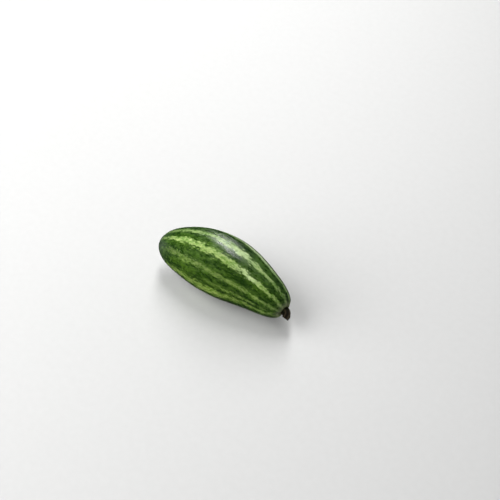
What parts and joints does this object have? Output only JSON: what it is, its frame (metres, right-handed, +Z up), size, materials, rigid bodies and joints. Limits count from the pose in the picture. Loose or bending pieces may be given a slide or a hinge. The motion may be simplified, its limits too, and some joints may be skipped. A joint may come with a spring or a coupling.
{
  "type": "pointed gourd",
  "caption": "Spindle-shaped striped green pointed gourd lying on its side, faintly ribbed, with a dry brown stalk stub in a dimple at one end and a blossom nub at the other.",
  "frame": {"origin": "on the small flat spot of the belly that the fruit rests on", "axes": "+X along the fruit from the blossom end to the stalk end, +Z up from the surface that it lies on"},
  "size_m": [0.0935, 0.0363, 0.0366],
  "materials": {
    "green_skin": "waxy satin skin, dark green with ragged pale green stripes that run from end to end",
    "dry_stalk": "dry, dull, ridged dark brown stalk with a paler broken end"
  },
  "bodies": {
    "root": {"fruit": "green_skin", "stalk_stub": "dry_stalk"}
  },
  "joints": []
}
